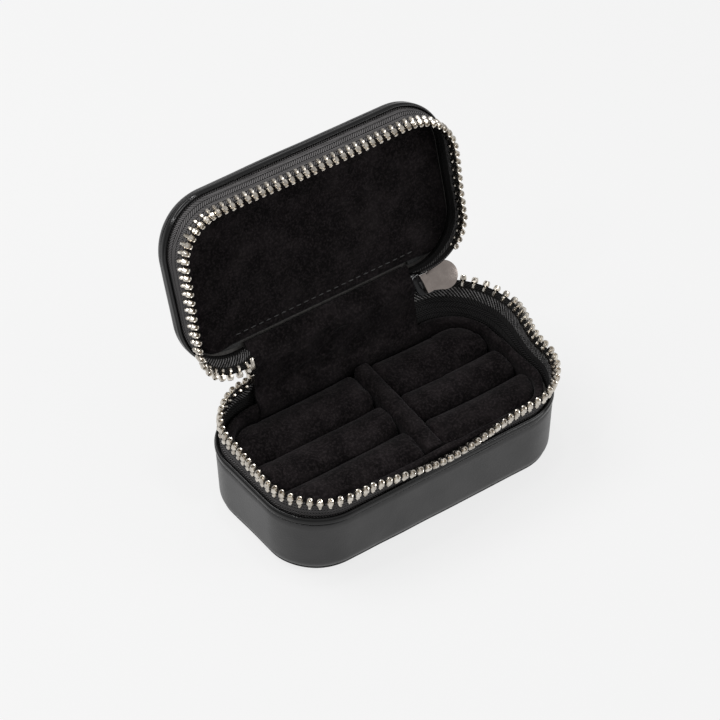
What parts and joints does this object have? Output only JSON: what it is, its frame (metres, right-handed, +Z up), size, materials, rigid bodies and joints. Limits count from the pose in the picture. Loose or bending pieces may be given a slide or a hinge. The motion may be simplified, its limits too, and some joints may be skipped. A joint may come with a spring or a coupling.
{
  "type": "jewelry box",
  "caption": "Small zip-around ring box, shown open: leather base with velvet ring rolls and a divider, thin velvet-lined lid on a soft hinge, metal zip with puller.",
  "frame": {"origin": "middle of the flat underside, on the surface the box rests on", "axes": "+X to the right along the length, +Y back towards the hinge, +Z up"},
  "size_m": [0.1001, 0.0741, 0.0863],
  "materials": {
    "leather": "smooth satin black",
    "rim_leather": "glossy black edge",
    "board": "stiff board, hidden",
    "foam": "soft foam, hidden",
    "velvet": "matt short pile",
    "zip_tape": "herringbone weave",
    "zip_metal": "polished nickel",
    "thread": "grey thread",
    "slider_metal": "black lacquer",
    "puller_metal": "polished nickel"
  },
  "bodies": {
    "base": {"base_leather": "leather", "base_rim_roll": "rim_leather", "base_rim_bead": "rim_leather", "bottom_panel": "leather", "base_frame": "board", "base_wall_lining": "velvet", "base_floor_lining": "velvet", "divider": "velvet", "left_rear_roll": "velvet", "left_middle_roll": "velvet", "left_front_roll": "velvet", "right_rear_roll": "velvet", "right_middle_roll": "velvet", "right_front_roll": "velvet", "base_zip_tape": "zip_tape", "base_zip_teeth": "zip_metal", "zip_end_stop": "zip_metal", "hinge_leather": "leather", "hinge_lining": "velvet"},
    "lid": {"lid_leather": "leather", "lid_rim_roll": "rim_leather", "lid_rim_bead": "rim_leather", "lid_board": "board", "lid_foam": "foam", "lid_pad": "velvet", "lid_hinge_lining": "velvet", "lid_stitches": "thread", "lid_zip_tape": "zip_tape", "lid_zip_teeth": "zip_metal", "lid_end_stop": "zip_metal"},
    "slider": {"slider_body": "slider_metal"},
    "puller": {"puller": "puller_metal"}
  },
  "joints": [
    {"name": "lid_hinge", "type": "hinge", "parent": "base", "child": "lid", "pos_m": [0, 0.0255, 0.0373], "axis": [1, 0, 0], "range_deg": [0, 106.4]},
    {"name": "slider_run", "type": "slide", "parent": "base", "child": "slider", "axis": [0.9791, -0.1196, 0.1643], "range_m": [0, 0.002]},
    {"name": "puller_swing", "type": "hinge", "parent": "slider", "child": "puller", "pos_m": [0.03396, 0.02763, 0.03022], "axis": [0.0337, -0.7017, -0.7116], "range_deg": [0, 30]}
  ]
}
